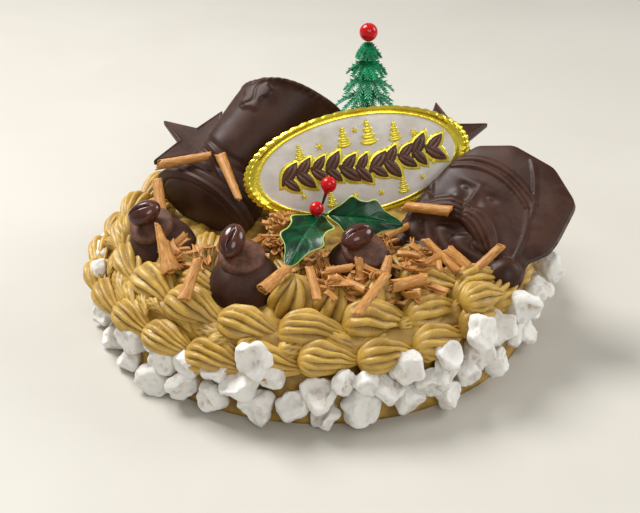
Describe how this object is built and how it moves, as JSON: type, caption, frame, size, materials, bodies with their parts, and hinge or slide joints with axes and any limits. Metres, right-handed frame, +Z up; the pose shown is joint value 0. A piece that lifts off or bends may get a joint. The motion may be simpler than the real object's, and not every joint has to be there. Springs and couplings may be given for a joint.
{
  "type": "christmas cake",
  "caption": "Round coffee-cream Christmas cake with piped shell borders, puffed grain side, chocolate domes, boot, stars and bearded head, foil plaque, holly and plastic tree",
  "frame": {"origin": "the middle of the cake's flat base, on the surface that it stands on", "axes": "+Z up, the front of the cake faces -Y, +X to the right of someone who looks at its front"},
  "size_m": [0.1746, 0.17, 0.0987],
  "materials": {
    "cream": "soft satin coffee cream, with white puffed grain around the side",
    "dark_chocolate": "satin moulded dark chocolate",
    "ganache": "dull soft brown ganache",
    "coffee_bean": "glossy coated bean",
    "milk_chocolate": "dry milk chocolate shavings",
    "gold_foil": "bright lemon gold foil with a pearly field",
    "tree_plastic": "glossy green plastic, white at the tips",
    "holly_plastic": "glossy dark green with a pale edge",
    "red_plastic": "glossy red"
  },
  "bodies": {
    "root": {"cake": "cream", "chocolate_dome_1": "dark_chocolate", "chocolate_dome_2": "dark_chocolate", "chocolate_dome_3": "dark_chocolate", "ganache_disc_1": "ganache", "ganache_disc_2": "ganache", "ganache_disc_3": "ganache", "coffee_bean_1": "coffee_bean", "coffee_bean_2": "coffee_bean", "coffee_bean_3": "coffee_bean", "bearded_head": "dark_chocolate", "chocolate_boot": "dark_chocolate", "star_left": "dark_chocolate", "star_right": "dark_chocolate", "oval_plaque": "gold_foil", "plastic_tree": "tree_plastic", "tree_ball": "red_plastic", "holly_leaf_left": "holly_plastic", "holly_leaf_right": "holly_plastic", "holly_stem": "holly_plastic", "holly_berry_upper": "red_plastic", "holly_berry_lower": "red_plastic", "roll_boot_heel": "milk_chocolate", "roll_boot_side": "milk_chocolate", "roll_behind_dome": "milk_chocolate", "roll_standing_cone": "milk_chocolate", "roll_leaning_front": "milk_chocolate", "roll_on_dome": "milk_chocolate", "roll_front_left": "milk_chocolate", "roll_front_middle": "milk_chocolate", "roll_upright": "milk_chocolate", "roll_front_right": "milk_chocolate", "roll_long_front": "milk_chocolate", "roll_scroll": "milk_chocolate", "roll_small_cone": "milk_chocolate", "roll_thin_right": "milk_chocolate", "roll_dark_flake": "milk_chocolate", "roll_standing_right": "milk_chocolate", "roll_on_beard": "milk_chocolate", "roll_pile_left": "milk_chocolate", "roll_pile_back": "milk_chocolate", "roll_pile_right": "milk_chocolate"}
  },
  "joints": []
}
